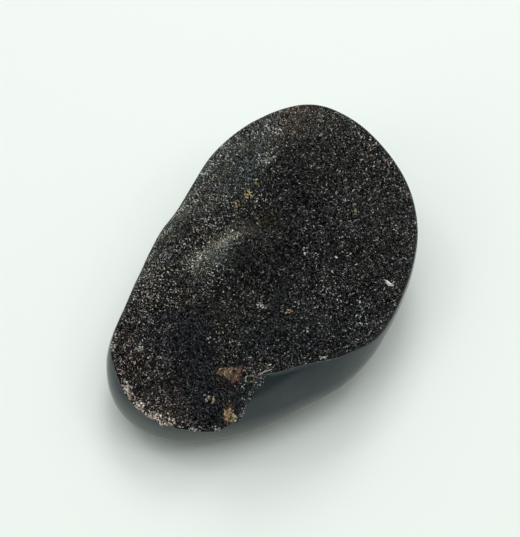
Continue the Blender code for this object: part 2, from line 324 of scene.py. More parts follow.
# Dark crystals that spill over the rim at the narrow end of the polished window, by angle and depth.
SPILL_ANGLES = (289.5, 299.0)
SPILL_DEPTH = 1.5 * MM
SPILL_THINNING = 1.5
SPILL_COUNT = 240
SPILL_SIZE = 0.12 * MM
SPILL_TILT = math.radians(70.0)
SPILL_WIDTHS = (0.6, 1.4)
SPILL_HEIGHTS = (1.2, 2.2)
SPILL_SINK = 0.4
SPILL_COLOURS = ((0.010, 0.012, 0.014), (0.008, 0.008, 0.009), (0.014, 0.020, 0.024), (0.030, 0.045, 0.055),
                 (0.50, 0.520, 0.520))

# The pale streak and the white fibre: name, end pixels of the view, count, half width, colour and roughness.
BLADES = (
    ("pale_streak", ((257, 376), (273, 370)), 5, 0.12 * MM, (0.40, 0.38, 0.34), 0.4),
    ("white_fibre", ((386, 283), (394, 287)), 8, 0.26 * MM, (0.90, 0.90, 0.88), 0.5),
)
BLADE_LIFT = 0.34 * MM
BLADE_SPLAY = 0.22
BLADE_PLACES = (0.2, 0.8)
BLADE_SCATTER = 0.4
BLADE_WIDTHS = (0.7, 1.3)
BLADE_SIDES = (0.4, 0.8)
BLADE_LENGTHS = (0.3, 0.5)

# Stage: the floor, the sky's glow by how near a direction is to its bright side, and the lamps with their
# places, widths and powers.
FLOOR_WIDTH = 6.0
FLOOR_NOISE = (0.2, 1.0, 0.0)
FLOOR_CLOUD_SHARE = 0.3
FLOOR_SHADE = 0.985
FLOOR_ROUGHNESS = 0.55
WORLD_COLOUR = (0.95, 1.0, 0.97)
WORLD_BRIGHT_SIDE = (-0.12, 0.30, 0.946)
WORLD_GLOW_RANGE = (0.25, 1.0, 0.10, 1.38)
LIGHTS = [
    ("back_light", (-0.49, 1.16, 0.985), 0.7, 5.5),
    ("left_light", (-0.63, -1.01, 0.60), 0.9, 2.4),
    ("right_light", (1.10, 0.58, 0.62), 0.8, 0.7),
    ("small_lamp_a", (0.35, 0.75, 1.0), 0.16, 0.50),
    ("small_lamp_b", (-0.75, 0.05, 0.95), 0.16, 0.50),
    ("small_lamp_c", (0.9, 0.25, 0.85), 0.16, 0.50),
]

# View: the camera looks down at the face across the low end. A ray through a pixel is searched for the face
# in even steps, this far before and behind the view's distance.
VIEW_ELEVATION = 52.0
VIEW_AZIMUTH = 28.0
VIEW_DISTANCE = 0.35
VIEW_HEIGHT = 11.0 * MM
VIEW_WIDTH_PX = 520
VIEW_HEIGHT_PX = 537
VIEW_FOCAL_PX = 1871.7
VIEW_TARGET_PX = (262.0, 270.0)
SENSOR = 36.0
CLIP_START = 0.01
RAY_REACH = 0.05
RAY_STEPS = 4000

# Sockets of the colour mixing node.
MIX_FACTOR, MIX_FIRST, MIX_SECOND, MIX_RESULT = 0, 6, 7, 2


def closed_curve(values, angle):
    """Read a smooth closed curve through evenly spaced values at an angle, or at an array of angles."""
    values = np.asarray(values)
    count = len(values)
    place = np.mod(angle, math.tau) / math.tau * count
    index = np.floor(place).astype(int)
    t = place - index
    before, start, end, after = (values[(index + offset) % count] for offset in (-1, 0, 1, 2))
    return 0.5 * (2 * start + (end - before) * t + (2 * before - 5 * start + 4 * end - after) * t ** 2
                  + (3 * start - before - 3 * end + after) * t ** 3)


def belt_height(y):
    """Height of the widest outline, which rises along the stone."""
    return BELT_HEIGHT + BELT_RISE * y


def swell(x, y, centre_x, centre_y, height, along, across, turn):
    """Height of one rounded lump or dip at x, y."""
    cosine, sine = math.cos(math.radians(turn)), math.sin(math.radians(turn))
    u = (x - centre_x) * cosine + (y - centre_y) * sine
    v = (y - centre_y) * cosine - (x - centre_x) * sine
    return height * np.exp(-(u / along) ** 2 - (v / across) ** 2)


def low_end(x, y):
    """How far the face lies below its crown past the low end's edge line."""
    cosine, sine = math.cos(math.radians(LOW_HEADING)), math.sin(math.radians(LOW_HEADING))
    past = (x - LOW_EDGE_X) * cosine + (y - LOW_EDGE_Y) * sine
    beside = np.maximum((x - LOW_EDGE_X) * sine - (y - LOW_EDGE_Y) * cosine, 0.0)
    step = np.clip(0.5 + past / (2 * (LOW_RUN + LOW_SPREAD * beside)), 0.0, 1.0)
    return LOW_DROP * step ** 2 * (3 - 2 * step)


def face_height(x, y):
    """Height of the top face over the plan point x, y."""
    angle = np.arctan2(y, x)
    outward = np.minimum(np.hypot(x, y) / closed_curve(BELT_RADII, angle), FACE_REACH)
    weight = outward ** CROWN_POWER
    height = CROWN_HEIGHT * (1 - weight) + closed_curve(RIM_HEIGHTS, angle) * weight - low_end(x, y)
    for values in SWELLS:
        height = height + swell(x, y, *values)
    return height


def side_radius(angle, height):
    """Radius of the stone's side: an arc that rounds in above the widest outline, and a fuller curve below."""
    belt = closed_curve(BELT_RADII, angle)
    belt_z = belt_height(belt * np.sin(angle))
    over = np.maximum(height - belt_z, 0.0)
    under = np.clip((belt_z - height) / (belt_z * UNDERSIDE_DEPTH), 0.0, 1.0)
    curve = (1 - under ** UNDERSIDE_ROUNDNESS) ** (1 / UNDERSIDE_ROUNDNESS)
    return (belt - over ** 2 / (2 * closed_curve(WALL_RADII, angle))) * curve


def rim_radius(angle):
    """Radius at which the top face meets the side."""
    radius = side_radius(angle, closed_curve(RIM_HEIGHTS, angle))
    for _ in range(RIM_SOLVE_STEPS):
        meeting = side_radius(angle, face_height(radius * np.cos(angle), radius * np.sin(angle)))
        radius = radius + RIM_SOLVE_SHARE * (meeting - radius)
    return radius


def face_normal(x, y):
    """Rows of unit normals of the top face over plan points."""
    slope_x = (face_height(x + SLOPE_STEP, y) - face_height(x - SLOPE_STEP, y)) / (2 * SLOPE_STEP)
    slope_y = (face_height(x, y + SLOPE_STEP) - face_height(x, y - SLOPE_STEP)) / (2 * SLOPE_STEP)
    normal = np.column_stack([-slope_x, -slope_y, np.ones_like(slope_x)])
    return normal / np.linalg.norm(normal, axis=1)[:, None]


def view_frame():
    """The camera's place, and its right, up and forward directions."""
    azimuth, elevation = math.radians(VIEW_AZIMUTH), math.radians(VIEW_ELEVATION)
    right = Vector((math.cos(azimuth), math.sin(azimuth), 0.0))
    level = Vector((-math.sin(azimuth), math.cos(azimuth), 0.0))
    forward = level * math.cos(elevation) - Vector((0.0, 0.0, math.sin(elevation)))
    up = right.cross(forward)
    pixel = VIEW_DISTANCE / VIEW_FOCAL_PX
    target = Vector((CENTRE[0], CENTRE[1], VIEW_HEIGHT))
    aim = (target - right * (VIEW_TARGET_PX[0] - VIEW_WIDTH_PX / 2) * pixel
           + up * (VIEW_TARGET_PX[1] - VIEW_HEIGHT_PX / 2) * pixel)
    return aim - forward * VIEW_DISTANCE, right, up, forward


def mesh_from(name, points, faces):
    """A mesh from an array of points in the stone's own coordinates and lists of faces."""
    mesh = bpy.data.meshes.new(name)
    mesh.from_pydata((np.asarray(points) + CENTRE).tolist(), [], faces)
    mesh.validate()
    return mesh


def new_piece(name, mesh, material, smooth=False):
    """Put a finished mesh in the scene as one piece of the stone."""
    piece = bpy.data.objects.new(name, mesh)
    bpy.context.scene.collection.objects.link(piece)
    mesh.materials.append(material)
    if smooth:
        mesh.shade_smooth()
    else:
        mesh.shade_flat()
    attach(piece, "root")
    return piece


def closed_loft(name, rings):
    """A closed mesh through rings of points, from the bottom ring to the top ring, with a point at each end."""
    rings = np.asarray(rings)
    rows, count = rings.shape[:2]
    points = np.vstack([rings.reshape(-1, 3), rings[0].mean(0), rings[-1].mean(0)])
    here = np.arange(count)
    after = (here + 1) % count
    faces = []
    for row in range(rows - 1):
        low, high = row * count, (row + 1) * count
        faces += np.column_stack([low + here, low + after, high + after, high + here]).tolist()
    bottom, top = rows * count, rows * count + 1
    faces += np.column_stack([np.full(count, bottom), after, here]).tolist()
    last = (rows - 1) * count
    faces += np.column_stack([np.full(count, top), last + here, last + after]).tolist()
    return mesh_from(name, points, faces)


def rim_place(angle):
    """Radius and height of the rim, and how far the smooth edge reaches in from it."""
    rim = rim_radius(angle)
    height = face_height(rim * np.cos(angle), rim * np.sin(angle))
    wander = cloud(ring_points(angle, rim, height), EDGE_WANDER_SIZE, EDGE_WANDER_SEED)
    return rim, height, EDGE_ROLL + EDGE_WANDER * (1 + wander)


def ring_points(angle, radius, height):
    """One ring of points, or any row of them, from angles, radii and heights."""
    return np.column_stack([radius * np.cos(angle), radius * np.sin(angle), height])


def cloud(points, size, seed):
    """Soft clouds from -1 to 1 at rows of points, of about the given size."""
    shift = Vector([seed * step for step in CLOUD_SHIFT])
    return np.array([noise.noise(Vector(point) / size + shift) for point in points])


def new_material(name):
    """An empty node material, with its nodes, its links and its shader."""
    material = bpy.data.materials.new(name)
    material.use_nodes = True
    nodes, links = material.node_tree.nodes, material.node_tree.links
    return material, nodes, links, nodes["Principled BSDF"]


def noise_node(nodes, links, size, detail, seed):
    """A noise texture in object space whose features are about the given size, in metres."""
    place = nodes.new("ShaderNodeTexCoord")
    texture = nodes.new("ShaderNodeTexNoise")
    texture.noise_dimensions = "4D"
    texture.inputs["W"].default_value = seed
    texture.inputs["Scale"].default_value = 1.0 / size
    texture.inputs["Detail"].default_value = detail
    links.new(place.outputs["Object"], texture.inputs["Vector"])
    return texture.outputs["Fac"]


def ranged(nodes, links, value, low, high, new_low, new_high):
    """Map a value from one range to another, held at both ends."""
    node = nodes.new("ShaderNodeMapRange")
    links.new(value, node.inputs["Value"])
    for label, number in (("From Min", low), ("From Max", high), ("To Min", new_low), ("To Max", new_high)):
        node.inputs[label].default_value = number
    return node.outputs["Result"]


def mixed(nodes, links, factor, first, second, blend="MIX"):
    """Mix two colours. Each is a colour or another node's output."""
    node = nodes.new("ShaderNodeMix")
    node.data_type = "RGBA"
    node.blend_type = blend
    for index, value in ((MIX_FACTOR, factor), (MIX_FIRST, first), (MIX_SECOND, second)):
        if isinstance(value, (float, int)):
            node.inputs[index].default_value = value
        elif isinstance(value, bpy.types.NodeSocket):
            links.new(value, node.inputs[index])
        else:
            node.inputs[index].default_value = (*value[:3], 1.0)
    return node.outputs[MIX_RESULT]


def worn(nodes, links, shader, noise_value, roughness, wear):
    """Let the shader's roughness swing about its middle value with a noise."""
    value = ranged(nodes, links, noise_value, *NOISE_ENDS, roughness + wear[0], roughness + wear[1])
    links.new(value, shader.inputs["Roughness"])


def bumped(nodes, links, shader, height, strength, distance):
    """Drive the shader's normal with a height."""
    node = nodes.new("ShaderNodeBump")
    node.inputs["Strength"].default_value = strength
    node.inputs["Distance"].default_value = distance
    links.new(height, node.inputs["Height"])
    links.new(node.outputs["Normal"], shader.inputs["Normal"])


class StoneSettings(bpy.types.PropertyGroup):
    """Sizes and colours of the septarian nodule."""

    rock_colour: bpy.props.FloatVectorProperty(
        name="Rock", description="Colour of the polished rock", subtype="COLOR", size=3,
        min=0.0, max=1.0, default=(0.011, 0.019, 0.027))
    rock_cloud_colour: bpy.props.FloatVectorProperty(
        name="Rock clouds", description="Colour of the paler clouds in the polished rock", subtype="COLOR",
        size=3, min=0.0, max=1.0, default=(0.026, 0.040, 0.040))
    # Paler low down: painted reflection of the bright floor.
    rock_foot_reflection_colour: bpy.props.FloatVectorProperty(
        name="Rock foot", description="Colour of the rock low down", subtype="COLOR", size=3,
        min=0.0, max=1.0, default=(0.214, 0.237, 0.214))
    rock_roughness: bpy.props.FloatProperty(
        name="Rock roughness", description="Roughness of the polished rock", subtype="FACTOR",
        min=0.0, max=1.0, default=0.16)
    crystal_spacing: bpy.props.FloatProperty(
        name="Crystal spacing", description="Distance between neighbouring crystals of the druse",
        subtype="DISTANCE", unit="LENGTH", default=0.27 * MM, min=0.2 * MM, max=2.0 * MM)
    crystal_size: bpy.props.FloatProperty(
        name="Crystal size", description="Half the width of a common crystal", subtype="DISTANCE",
        unit="LENGTH", default=0.128 * MM, min=0.05 * MM, max=1.0 * MM)
    crystal_tilt: bpy.props.FloatProperty(
        name="Crystal tilt", description="Largest lean of a crystal from the face", subtype="ANGLE",
        unit="ROTATION", default=math.radians(66.0), min=0.0, max=math.radians(90.0))
    crystal_colour: bpy.props.FloatVectorProperty(
        name="Crystals", description="Colour of the black crystals", subtype="COLOR", size=3,
        min=0.0, max=1.0, default=(0.009, 0.0085, 0.0085))
    crystal_pale_colour: bpy.props.FloatVectorProperty(
        name="Pale crystals", description="Colour of the paler grains among the black crystals",
        subtype="COLOR", size=3, min=0.0, max=1.0, default=(0.97, 0.935, 0.89))
    floor_colour: bpy.props.FloatVectorProperty(
        name="Floor", description="Colour of the floor", subtype="COLOR", size=3,
        min=0.0, max=1.0, default=(0.84, 0.87, 0.845))


def polished_rock_rings():
    """Rings of the rock: its resting face, underside and wall, the edge it rolls over, and the crust's bed."""
    angle = np.arange(SEGMENTS) * math.tau / SEGMENTS
    belt = closed_curve(BELT_RADII, angle)
    belt_z = belt_height(belt * np.sin(angle))
    _, rim_z, reach = rim_place(angle)
    rings = []
    for step in range(UNDERSIDE_ROWS):
        turn = (1 - step / UNDERSIDE_ROWS) * math.asin((1 / UNDERSIDE_DEPTH) ** (UNDERSIDE_ROUNDNESS / 2))
        under = math.sin(turn) ** (2 / UNDERSIDE_ROUNDNESS)
        height = belt_z * (1 - UNDERSIDE_DEPTH * under)
        rings.append(ring_points(angle, side_radius(angle, height), height))
    rings[0][:, 2] = 0.0
    wall_top = rim_z - EDGE_ROLL
    for step in range(WALL_ROWS + 1):
        height = belt_z + (wall_top - belt_z) * step / WALL_ROWS
        rings.append(ring_points(angle, side_radius(angle, height), height))
    edge = side_radius(angle, wall_top)
    for step in range(1, EDGE_ROWS + 1):
        turn = step / EDGE_ROWS * math.pi / 2
        radius = edge - reach * (1 - math.cos(turn))
        rings.append(ring_points(angle, radius, wall_top + EDGE_ROLL * math.sin(turn)))
    inner = edge - reach
    for step in range(ROCK_BED_ROWS):
        radius = inner * (1 - step / ROCK_BED_ROWS)
        x, y = radius * np.cos(angle), radius * np.sin(angle)
        rings.append(ring_points(angle, radius, face_height(x, y) - ROCK_BED_DEPTH))
    return rings


def polished_rock_material(settings):
    """Dark slate with soft clouds, faint specks, a fine polish and a paler foot that is painted reflection of
    the bright floor.
    """
    material, nodes, links, shader = new_material("polished_slate")
    clouds = ranged(nodes, links, noise_node(nodes, links, *ROCK_CLOUD_NOISE), *ROCK_CLOUD_RANGE)
    colour = mixed(nodes, links, clouds, settings.rock_colour, settings.rock_cloud_colour)
    navy = ranged(nodes, links, noise_node(nodes, links, *ROCK_NAVY_NOISE), *ROCK_NAVY_RANGE)
    colour = mixed(nodes, links, navy, colour, ROCK_NAVY_COLOUR)
    place = nodes.new("ShaderNodeTexCoord")
    split = nodes.new("ShaderNodeSeparateXYZ")
    links.new(place.outputs["Object"], split.inputs[0])
    # Paler low down: painted reflection of the bright floor.
    low = ranged(nodes, links, split.outputs["Z"], *ROCK_FOOT_REFLECTION_RANGE)
    colour = mixed(nodes, links, low, colour, settings.rock_foot_reflection_colour)
    specks = ranged(nodes, links, noise_node(nodes, links, *ROCK_SPECK_NOISE), *ROCK_SPECK_RANGE)
    colour = mixed(nodes, links, specks, colour, ROCK_SPECK_COLOUR)
    links.new(colour, shader.inputs["Base Color"])
    worn(nodes, links, shader, noise_node(nodes, links, *ROCK_WEAR_NOISE), settings.rock_roughness, ROCK_WEAR)
    bumped(nodes, links, shader, noise_node(nodes, links, *ROCK_RIPPLE_NOISE), *ROCK_RIPPLE)
    return material


class STONE_OT_polished_rock(bpy.types.Operator):
    """Build the polished rock of the nodule"""

    bl_idname = "stone.polished_rock"
    bl_label = "Polished rock"

    def execute(self, context):
        mesh = closed_loft("polished_nodule", polished_rock_rings())
        material = polished_rock_material(context.scene.stone)
        piece = new_piece("polished_nodule", mesh, material, smooth=True)
        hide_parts("nodule")
        return {"FINISHED"}


def crust_bed_rings():
    """Rings of the crust bed: its hidden floor, and its grainy top inside the rock's edge."""
    angle = np.arange(SEGMENTS) * math.tau / SEGMENTS
    rim, _, reach = rim_place(angle)
    outer = rim - reach + BED_OVERLAP
    rings = []
    for step in range(1, BED_FLOOR_ROWS + 1):
        radius = outer * step / BED_FLOOR_ROWS
        x, y = radius * np.cos(angle), radius * np.sin(angle)
        rings.append(ring_points(angle, radius, face_height(x, y) + BED_FLOOR_LEVEL))
    for step in range(BED_ROWS):
        radius = outer * (1 - step / BED_ROWS)
        x, y = radius * np.cos(angle), radius * np.sin(angle)
        ring = ring_points(angle, radius, face_height(x, y) + BED_LEVEL)
        ring[:, 2] += BED_GRAIN_HEIGHT * cloud(ring, BED_GRAIN, BED_GRAIN_SEED)
        rings.append(ring)
    return rings


def from_edge(x, y):
    """How far plan points lie inside the rock's smooth edge."""
    table = np.linspace(0, math.tau, SEGMENTS + 1)
    rim, _, reach = rim_place(table)
    return np.interp(np.mod(np.arctan2(y, x), math.tau), table, rim - reach) - np.hypot(x, y)


def edge_drop(inward):
    """How far the rolled edge lies below the face, from the distance inside the smooth edge's inner line."""
    return EDGE_ROLL * (1 - np.sqrt(1 - np.clip(-inward / EDGE_ROLL, 0.0, 1.0) ** 2))


def grow_points(spacing, dice):
    """Plan points for crystals: a shaken grid over the face, thinned so that steep parts get no fewer.

    Each point also has a rank from 0 to 1, and points of a low rank stand well apart from one another.
    """
    pitch = spacing / math.sqrt(STEEPEST)
    reach = max(BELT_RADII)
    columns = np.arange(-reach, reach, pitch)
    rows = np.arange(-reach, reach, pitch * ROW_PITCH)
    x, y = np.meshgrid(columns, rows)
    x = x + (np.arange(len(rows)) % 2)[:, None] * pitch / 2
    x = x + dice.uniform(-POINT_SHIFT, POINT_SHIFT, x.shape) * pitch
    y = y + dice.uniform(-POINT_SHIFT, POINT_SHIFT, y.shape) * pitch
    across, along = np.meshgrid(np.arange(len(columns)), np.arange(len(rows)))
    rank = np.mod(across * RANK_ACROSS + along * RANK_ALONG + RANK_SHAKE * dice.random(x.shape), 1.0)
    x, y, rank = x.ravel(), y.ravel(), rank.ravel()
    inside = from_edge(x, y) > -EDGE_CREEP
    x, y, rank = x[inside], y[inside], rank[inside]
    rank = rank * STEEPEST * face_normal(x, y)[:, 2]
    kept = rank < 1
    return x[kept], y[kept], rank[kept]


def rhomb_shape():
    """Corners and faces of a unit rhombohedron that stands on one of its points."""
    upper = [(math.cos(turn), math.sin(turn), 1 / 3) for turn in (0, math.tau / 3, 2 * math.tau / 3)]
    lower = [(-x, -y, -z) for x, y, z in (upper[2], upper[0], upper[1])]
    corners = np.array([(0, 0, 1), *upper, *lower, (0, 0, -1)])
    faces = np.array([(0, 1, 4, 2), (0, 2, 5, 3), (0, 3, 6, 1), (7, 5, 2, 4), (7, 6, 3, 5), (7, 4, 1, 6)])
    return corners, faces


def crystal_axes(normals, tilt, dice):
    """For each crystal, three unit axes: the last leans from the face by up to the tilt, with a random spin."""
    count = len(normals)
    lean = dice.normal(size=(count, 3))
    lean -= (lean * normals).sum(1)[:, None] * normals
    lean /= np.linalg.norm(lean, axis=1)[:, None]
    angle = (tilt * np.sqrt(dice.random(count)))[:, None]
    along = normals * np.cos(angle) + lean * np.sin(angle)
    side = np.cross(along, dice.normal(size=(count, 3)))
    side /= np.linalg.norm(side, axis=1)[:, None]
    return np.stack([side, np.cross(along, side), along], axis=1)


def crystals_mesh(name, centres, axes, sizes, colours, highest, painted_shade):
    """Closed crystals in one mesh, each darker towards its foot by painted shade and with its own map cell."""
    corners, faces = rhomb_shape()
    count = len(centres)
    scaled = corners[None] * sizes[:, None]
    points = np.einsum("nci,nij->ncj", scaled, axes) + centres[:, None]
    over = (points[:, :, 2] - face_height(points[:, :, 0], points[:, :, 1])).max(1) - highest
    points[:, :, 2] -= np.maximum(over, 0.0)[:, None]
    first = np.arange(count)[:, None, None] * len(corners)
    mesh = mesh_from(name, points.reshape(-1, 3), (first + faces[None]).reshape(-1, 4).tolist())
    # The colours carry stains, painted highlight and painted shade.
    stain_and_painted_light = mesh.color_attributes.new("stain_and_painted_light", "FLOAT_COLOR", "POINT")
    # Each corner's colour is darkened by the painted shade towards the crystal's foot.
    shaded = np.ones((count, len(corners), 4))
    shaded[:, :, :3] = colours[:, None] * np.broadcast_to(painted_shade, (count, len(corners)))[:, :, None]
    stain_and_painted_light.data.foreach_set("color", shaded.ravel())
    side = math.ceil(math.sqrt(count))
    cell = np.stack([np.arange(count) % side, np.arange(count) // side], axis=1)[:, None, None]
    places = (cell + np.repeat(MAP_DIAMONDS, 3, axis=0)[None]) / side
    mesh.uv_layers.new(name="OFBake").uv.foreach_set("vector", places.ravel())
    return mesh


def plan_cloud(x, y, size, seed):
    """Soft clouds from -1 to 1 at plan points."""
    return cloud(np.column_stack([x, y, np.zeros_like(x)]), size, seed)


def face_points(columns, rows):
    """Plan points where the view's pixels meet the top face."""
    place, right, up, forward = view_frame()
    offset = np.stack([(np.asarray(columns) - VIEW_WIDTH_PX / 2) / VIEW_FOCAL_PX,
                       (VIEW_HEIGHT_PX / 2 - np.asarray(rows)) / VIEW_FOCAL_PX], axis=-1)
    ray = np.array(forward) + offset[..., :1] * np.array(right) + offset[..., 1:] * np.array(up)
    reach = VIEW_DISTANCE + np.linspace(-RAY_REACH, RAY_REACH, RAY_STEPS)
    path = np.array(place) - CENTRE + reach[:, None, None] * ray[None]
    under = path[..., 2] < face_height(path[..., 0], path[..., 1])
    found = np.argmax(under, axis=0)
    met = np.take_along_axis(path, found[None, :, None], axis=0)[0]
    return met[:, 0], met[:, 1]


def segment_distance(x, y, start, end):
    """Distance from plan points to a line between two plan points."""
    run = np.array([end[0] - start[0], end[1] - start[1]])
    share = np.clip(((x - start[0]) * run[0] + (y - start[1]) * run[1]) / float(run @ run), 0.0, 1.0)
    return np.hypot(x - start[0] - share * run[0], y - start[1] - share * run[1])


def spot_share(x, y, ends, reach):
    """How strongly plan points lie in a soft line between two pixels of the view, from 0 to 1."""
    ends_x, ends_y = face_points([ends[0][0], ends[1][0]], [ends[0][1], ends[1][1]])
    distance = segment_distance(x, y, (ends_x[0], ends_y[0]), (ends_x[1], ends_y[1]))
    return np.exp(-(distance / reach) ** SPOT_POWER)


def paint_stains_and_light(x, y, colours, grain):
    """Give crystals at plan points the stains and the painted light and shade of the druse, each crystal a
    little paler or darker.
    """
    wander = 1 + STAIN_AND_LIGHT_WANDER * plan_cloud(x, y, STAIN_AND_LIGHT_WANDER_SIZE, STAIN_AND_LIGHT_WANDER_SEED)
    for start, end, reach, colour, strength in STAINS_AND_PAINTED_LIGHT:
        share = strength * spot_share(x, y, (start, end), reach / wander)[:, None]
        colours = colours * (1 - share) + np.array(colour) * grain * share
    return colours


def towards_lit_flank(x, y):
    """How far plan points lie towards the paler flank of the druse, the one that faces the light, up to 1."""
    heading = math.radians(FLANK_HEADING)
    return np.clip((x * math.cos(heading) + y * math.sin(heading)) / FLANK_REACH, FLANK_LEAST, 1.0)


def druse_crystals(settings):
    """The band of each crystal of the druse, and the rows that crystals_mesh takes for all of them."""
    dice = np.random.default_rng(SEED)
    x, y, rank = grow_points(settings.crystal_spacing, dice)
    count = len(x)
    normals = face_normal(x, y)
    clouds = plan_cloud(x, y, PALE_CLOUD, PALE_CLOUD_SEED)
    inward = from_edge(x, y)
    lit_flank = towards_lit_flank(x, y)
    # More and brighter pale crystals towards the flank that faces the light are painted light; more along the
    # rim are frost.
    frost_and_light = FROST_AND_LIGHT_BASE + FLANK_PAINTED_LIGHT * np.maximum(lit_flank, 0.0)
    frost_and_light = frost_and_light + RIM_FROST * np.exp(-np.maximum(inward, 0.0) / RIM_FROST_REACH)
    share = PALE_SHARE * (1 + PALE_PATCHES * clouds) * frost_and_light ** FROST_AND_LIGHT_SPREAD
    pale = (rank < share) * dice.random(count) ** (PALE_POWER / frost_and_light)
    pale = pale * (1 - DULL_PATCH_SHARE * spot_share(x, y, DULL_PATCH_PX, DULL_PATCH_REACH))
    axes = crystal_axes(normals, settings.crystal_tilt * np.where(pale > 0, PALE_TILT, 1.0), dice)
    size = settings.crystal_size * np.exp(SIZE_SPREAD * dice.normal(size=count))
    size = np.clip(size, SMALLEST * settings.crystal_size, LARGEST * settings.crystal_size)
    size = size * np.interp(inward, (-EDGE_CREEP, RIM_SMALL_REACH), (RIM_SMALL_SHARE, 1.0))
    wide = np.where(dice.random(count) < LONG_CRYSTAL_SHARE, dice.uniform(*LONG_CRYSTAL_SIDES, count), 1.0)
    sizes = np.column_stack([size * wide, size * dice.uniform(*CRYSTAL_SIDES, count),
                             size * dice.uniform(*CRYSTAL_HEIGHTS, count)])
    needle = np.array([PALE_THINNESS, PALE_THINNESS, PALE_LENGTH])
    sizes = np.where(pale[:, None] > 0, sizes * needle, sizes)
    drop = edge_drop(inward)
    highest = np.minimum(HIGHEST_POINT, RIM_POINT + RIM_RISE * np.maximum(inward, 0.0)) - drop
    height = face_height(x, y) - drop - (CRYSTAL_SINK - PALE_RISE * frost_and_light * pale) * sizes[:, 2]
    places = np.column_stack([x, y, height])
    shade = dice.random(count)[:, None]
    tints = np.array(PALE_TINTS)[dice.integers(len(PALE_TINTS), size=count)]
    colours = np.array(settings.crystal_colour) * (DARKEST_SHADE + SHADE_SWING * shade)
    tints = tints * (1 + lit_flank[:, None] * FLANK_TINT)
    colours = colours * (1 - pale[:, None]) + np.array(settings.crystal_pale_colour) * tints * pale[:, None]
    grain = STAIN_AND_LIGHT_LEAST + STAIN_AND_LIGHT_SWING * dice.random(count) ** STAIN_AND_LIGHT_POWER + STAIN_AND_LIGHT_OF_PALE * pale
    # Stains, with painted highlight on the shoulder and the lump and painted shade beside the lump.
    colours = paint_stains_and_light(x, y, colours, grain[:, None])
    swing = plan_cloud(x, y, TINT_CLOUD, TINT_CLOUD_SEED)[:, None]
    colours = np.clip(colours * (1 + swing * TINT_SWING), 0.0, 1.0)
    # Painted shade towards the feet, lifted on the pale crystals.
    painted_shade = np.array(PAINTED_SHADE_POINT_TO_FOOT)
    painted_shade = painted_shade + (1 - painted_shade) * PALE_EVENNESS * (frost_and_light * pale)[:, None]
    band = np.digitize(y + BAND_BLUR * dice.normal(size=count), BAND_EDGES)
    return band, (places, axes, sizes, colours, highest, painted_shade)


def crystal_material(name, roughness, gloss):
    """Glassy crystal faces that take their colour from each crystal's own stains, painted highlight and painted
    shade.
    """
    material, nodes, links, shader = new_material(name)
    stain_and_painted_light = nodes.new("ShaderNodeAttribute")
    stain_and_painted_light.attribute_name = "stain_and_painted_light"
    grain = noise_node(nodes, links, *CRYSTAL_GRAIN_NOISE)
    dark = ranged(nodes, links, noise_node(nodes, links, *CRYSTAL_CLOUD_NOISE), *CRYSTAL_CLOUD_RANGE)
    colour = mixed(nodes, links, 1.0, stain_and_painted_light.outputs["Color"], dark, "MULTIPLY")
    links.new(colour, shader.inputs["Base Color"])
    worn(nodes, links, shader, grain, roughness, CRYSTAL_WEAR)
    shader.inputs["IOR"].default_value = gloss
    bumped(nodes, links, shader, grain, *CRYSTAL_RIPPLE)
    return material


def crust_bed_material(settings):
    """The dark floor between the crystals."""
    material, nodes, links, shader = new_material("crust_floor")
    clouds = ranged(nodes, links, noise_node(nodes, links, *BED_CLOUD_NOISE), *NOISE_ENDS, 0.0, 1.0)
    dark = tuple(BED_DARKNESS * value for value in settings.crystal_colour)
    links.new(mixed(nodes, links, clouds, dark, settings.crystal_colour), shader.inputs["Base Color"])
    links.new(ranged(nodes, links, clouds, *BED_ROUGHNESS_RANGE), shader.inputs["Roughness"])
    bumped(nodes, links, shader, noise_node(nodes, links, *BED_RIPPLE_NOISE), *BED_RIPPLE)
    return material


class STONE_OT_crust_bed(bpy.types.Operator):
    """Build the dark crust that the crystals stand on"""

    bl_idname = "stone.crust_bed"
    bl_label = "Crust bed"

    def execute(self, context):
        mesh = closed_loft("crust_bed", crust_bed_rings())
        material = crust_bed_material(context.scene.stone)
        piece = new_piece("crust_bed", mesh, material, smooth=True)
        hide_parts("crystal_crust")
        return {"FINISHED"}


class STONE_OT_druse(bpy.types.Operator):
    """Grow the druse of small crystals in bands along the stone"""

    bl_idname = "stone.druse"
    bl_label = "Druse crystals"

    def execute(self, context):
        band, rows = druse_crystals(context.scene.stone)
        material = crystal_material("black_druse", CRYSTAL_ROUGHNESS, CRYSTAL_IOR)
        for index in range(len(BAND_EDGES) + 1):
            name = f"druse_band_{index + 1}"
            mesh = crystals_mesh(name, *(row[band == index] for row in rows))
            new_piece(name, mesh, material)
        return {"FINISHED"}


def spot_pixels(spots, dice):
    """Pixels scattered over the spots."""
    columns, rows = [], []
    for centre, half, count in spots:
        turn = dice.uniform(0, math.tau, count)
        out = np.sqrt(dice.random(count))
        columns.append(centre[0] + half[0] * out * np.cos(turn))
        rows.append(centre[1] + half[1] * out * np.sin(turn))
    return np.concatenate(columns), np.concatenate(rows)


def ring_pixels(dice):
    """Pixels of the ring of grains, each shaken in or out."""
    turn = np.arange(GRAIN_RING_COUNT) * math.tau / GRAIN_RING_COUNT
    out = dice.uniform(*GRAIN_RING_WANDER, GRAIN_RING_COUNT)
    return (GRAIN_RING_PX[0] + GRAIN_RING_HALF_PX[0] * out * np.cos(turn),
            GRAIN_RING_PX[1] + GRAIN_RING_HALF_PX[1] * out * np.sin(turn))


